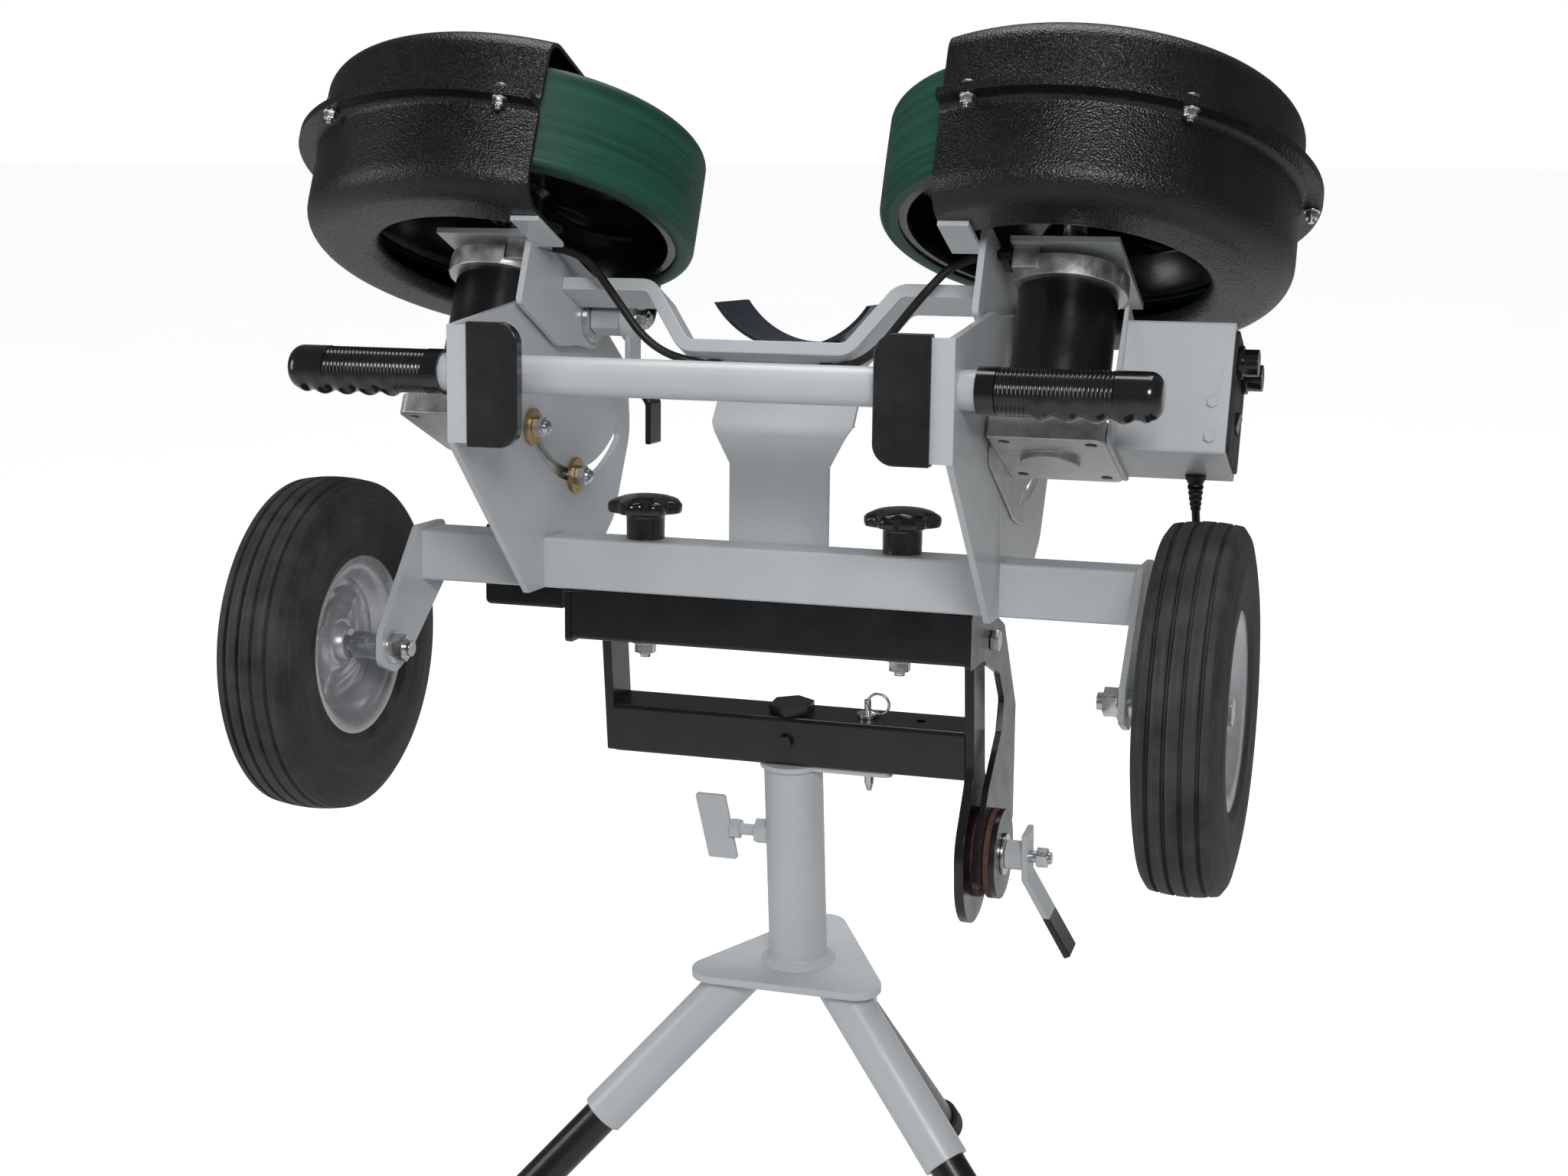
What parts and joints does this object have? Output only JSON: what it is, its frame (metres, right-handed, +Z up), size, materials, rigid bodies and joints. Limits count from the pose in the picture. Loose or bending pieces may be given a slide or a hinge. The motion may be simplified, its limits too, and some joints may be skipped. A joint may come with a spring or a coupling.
{
  "type": "two-wheel ball throwing machine",
  "caption": "Ball throwing machine: two green rubber wheels in black shrouds with motors, on a tilting grey frame with handlebar and transport wheels, over a swivel tripod.",
  "frame": {"origin": "on the floor under the middle of the footprint", "axes": "+Z up, +Y the throwing direction, +X to the right of the operator who stands behind"},
  "size_m": [1.1257, 0.9816, 1.5047],
  "materials": {
    "grey_paint": "light grey powder coat, semi gloss",
    "black_paint": "black powder coat, semi gloss",
    "zinc": "bright zinc plate",
    "brass_washer": "yellow passivated",
    "cast_alloy": "as cast",
    "black_rubber": "moulded, matte",
    "tyre_rubber": "worn, dusty",
    "green_tread": "turned polyurethane, fine rings",
    "shroud_black": "textured, pebbled",
    "gloss_black": "moulded, glossy",
    "vinyl_black": "dipped vinyl, glossy",
    "silver_rim": "silver paint, glossy",
    "friction_fibre": "pressed friction fibre",
    "leg_black": "black paint, satin",
    "bushing_nylon": "turned nylon",
    "cord_black": "flexible jacket, satin",
    "panel_black": "fine texture",
    "cradle_black": "moulded, satin",
    "hub_alloy": "cast, black paint, satin"
  },
  "bodies": {
    "tripod": {"tripod_head": "grey_paint", "post_tube": "grey_paint", "leg_tubes": "leg_black", "feet": "black_rubber", "post_bushing": "bushing_nylon"},
    "clamp_screw": {"clamp_screw": "grey_paint"},
    "swivel": {"swivel_bar": "black_paint", "swivel_plate_left": "black_paint", "swivel_plate_right": "black_paint", "spindle": "black_paint", "swivel_fasteners": "zinc", "friction_discs": "friction_fibre", "pressure_disc": "black_paint"},
    "lock_pin": {"lock_pin": "zinc"},
    "tilt_lever": {"tilt_lever": "grey_paint"},
    "tilt_frame": {"tilt_bar": "black_paint", "tilt_plate_left": "black_paint", "tilt_sector": "black_paint", "crossbar": "grey_paint", "side_plate_right": "grey_paint", "side_plate_left": "grey_paint", "handlebar": "grey_paint", "grips": "gloss_black", "edge_covers": "vinyl_black", "wheel_arms": "grey_paint", "frame_fasteners": "zinc", "cradle_bracket": "grey_paint", "ball_cradle": "cradle_black", "junction_box": "panel_black"},
    "knob_left": {"knob_left": "gloss_black"},
    "knob_right": {"knob_right": "gloss_black"},
    "transport_wheel_left": {"tyre_left": "tyre_rubber", "rim_left": "silver_rim"},
    "transport_wheel_right": {"tyre_right": "tyre_rubber", "rim_right": "silver_rim"},
    "throw_head": {"head_plate_right": "grey_paint", "head_plate_left": "grey_paint", "cross_strap": "grey_paint", "motor_cans": "black_paint", "motor_castings": "cast_alloy", "shroud_lower_right": "shroud_black", "shroud_lower_left": "shroud_black", "shroud_upper_right": "shroud_black", "shroud_upper_left": "shroud_black", "head_fasteners": "zinc", "slot_washers": "brass_washer", "control_box": "grey_paint", "control_panel": "panel_black", "motor_cable": "cord_black", "cable_clips": "cord_black", "power_cord": "cord_black", "power_plug": "cord_black"},
    "lock_lever": {"lock_lever": "grey_paint"},
    "throw_wheel_left": {"tread_left": "green_tread", "hub_left": "hub_alloy"},
    "throw_wheel_right": {"tread_right": "green_tread", "hub_right": "hub_alloy"},
    "dial_left": {"dial_left": "gloss_black"},
    "dial_right": {"dial_right": "gloss_black"},
    "power_switch": {"power_switch": "gloss_black"}
  },
  "joints": [
    {"name": "swivel_turn", "type": "hinge", "parent": "tripod", "child": "swivel", "pos_m": [0, -0.15529, 0.8], "axis": [0, 0, 1], "continuous": true},
    {"name": "clamp_turn", "type": "hinge", "parent": "tripod", "child": "clamp_screw", "pos_m": [-0.06, -0.15529, 0.691], "axis": [1, 0, 0], "range_deg": [0, 360]},
    {"name": "lock_pin_lift", "type": "slide", "parent": "swivel", "child": "lock_pin", "axis": [0, 0, 1], "range_m": [0, 0.035]},
    {"name": "tilt_turn", "type": "hinge", "parent": "swivel", "child": "tilt_frame", "pos_m": [0, -0.15529, 0.915], "axis": [1, 0, 0], "range_deg": [-16, 7]},
    {"name": "tilt_lever_turn", "type": "hinge", "parent": "swivel", "child": "tilt_lever", "pos_m": [0.24, -0.15529, 0.692], "axis": [1, 0, 0], "range_deg": [0, 90]},
    {"name": "knob_left_turn", "type": "hinge", "parent": "tilt_frame", "child": "knob_left", "pos_m": [-0.131, -0.20342, 1.03174], "axis": [0, 0.1219, 0.9925], "range_deg": [0, 720]},
    {"name": "knob_right_turn", "type": "hinge", "parent": "tilt_frame", "child": "knob_right", "pos_m": [0.131, -0.20342, 1.03174], "axis": [0, 0.1219, 0.9925], "range_deg": [0, 720]},
    {"name": "transport_wheel_left_roll", "type": "hinge", "parent": "tilt_frame", "child": "transport_wheel_left", "pos_m": [-0.428, -0.31435, 0.91599], "axis": [1, 0, 0], "continuous": true},
    {"name": "transport_wheel_right_roll", "type": "hinge", "parent": "tilt_frame", "child": "transport_wheel_right", "pos_m": [0.428, -0.31435, 0.91599], "axis": [1, 0, 0], "continuous": true},
    {"name": "head_pitch", "type": "hinge", "parent": "tilt_frame", "child": "throw_head", "pos_m": [0, -0.11656, 1.21401], "axis": [1, 0, 0], "range_deg": [0, 21]},
    {"name": "lock_lever_turn", "type": "hinge", "parent": "tilt_frame", "child": "lock_lever", "pos_m": [-0.18, -0.11656, 1.21401], "axis": [1, 0, 0], "range_deg": [0, 90]},
    {"name": "throw_wheel_left_spin", "type": "hinge", "parent": "throw_head", "child": "throw_wheel_left", "pos_m": [-0.283, -0.12241, 1.34787], "axis": [0, 0.5, 0.866], "continuous": true},
    {"name": "throw_wheel_right_spin", "type": "hinge", "parent": "throw_head", "child": "throw_wheel_right", "pos_m": [0.283, -0.12241, 1.34787], "axis": [0, 0.5, 0.866], "continuous": true},
    {"name": "dial_left_turn", "type": "hinge", "parent": "throw_head", "child": "dial_left", "pos_m": [0.44, -0.21024, 1.20574], "axis": [1, 0, 0], "range_deg": [0, 270]},
    {"name": "dial_right_turn", "type": "hinge", "parent": "throw_head", "child": "dial_right", "pos_m": [0.44, -0.1756, 1.18574], "axis": [1, 0, 0], "range_deg": [0, 270]},
    {"name": "power_switch_rock", "type": "hinge", "parent": "throw_head", "child": "power_switch", "pos_m": [0.437, -0.21792, 1.15244], "axis": [0, 0.866, -0.5], "range_deg": [-12, 0]}
  ]
}
